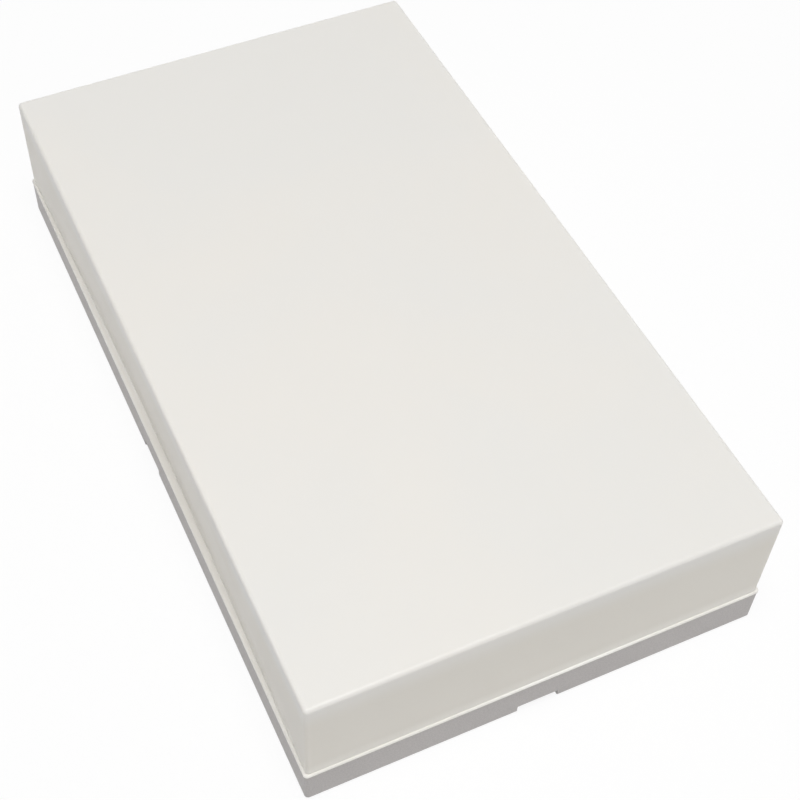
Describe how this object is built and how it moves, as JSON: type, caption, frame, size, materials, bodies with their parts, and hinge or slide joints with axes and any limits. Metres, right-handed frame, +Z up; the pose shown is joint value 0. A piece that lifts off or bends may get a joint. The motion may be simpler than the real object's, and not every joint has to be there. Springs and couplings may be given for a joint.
{
  "type": "wet palette",
  "caption": "Rectangular wet palette for model painting: a deep opal lid on a shallow notched base with a lift-out water tray, a sponge and a sheet of palette paper.",
  "frame": {"origin": "on the table, under the middle of the footprint, level with the underside of the feet", "axes": "+Z up, +Y along the long side, +X across the short side"},
  "size_m": [0.1212, 0.2118, 0.0423],
  "materials": {
    "base_plastic": "satin",
    "foot_rubber": "matte",
    "tray_plastic": "satin",
    "seal_silicone": "matte",
    "sponge_foam": "matte",
    "paper_sheet": "matte",
    "lid_opal": "satin"
  },
  "bodies": {
    "base": {"base_shell": "base_plastic", "foot_front_left": "foot_rubber", "foot_front_right": "foot_rubber", "foot_back_left": "foot_rubber", "foot_back_right": "foot_rubber"},
    "tray": {"water_tray": "tray_plastic", "seal_ring": "seal_silicone"},
    "lid": {"lid": "lid_opal"},
    "sponge": {"sponge": "sponge_foam"},
    "paper": {"palette_paper": "paper_sheet"}
  },
  "joints": [
    {"name": "tray_lift", "type": "slide", "parent": "base", "child": "tray", "axis": [0, 0, 1], "range_m": [0, 0.03]},
    {"name": "lid_lift", "type": "slide", "parent": "tray", "child": "lid", "axis": [0, 0, 1], "range_m": [0, 0.06]},
    {"name": "sponge_lift", "type": "slide", "parent": "tray", "child": "sponge", "axis": [0, 0, 1], "range_m": [0, 0.015]},
    {"name": "paper_lift", "type": "slide", "parent": "sponge", "child": "paper", "axis": [0, 0, 1], "range_m": [0, 0.008]}
  ]
}
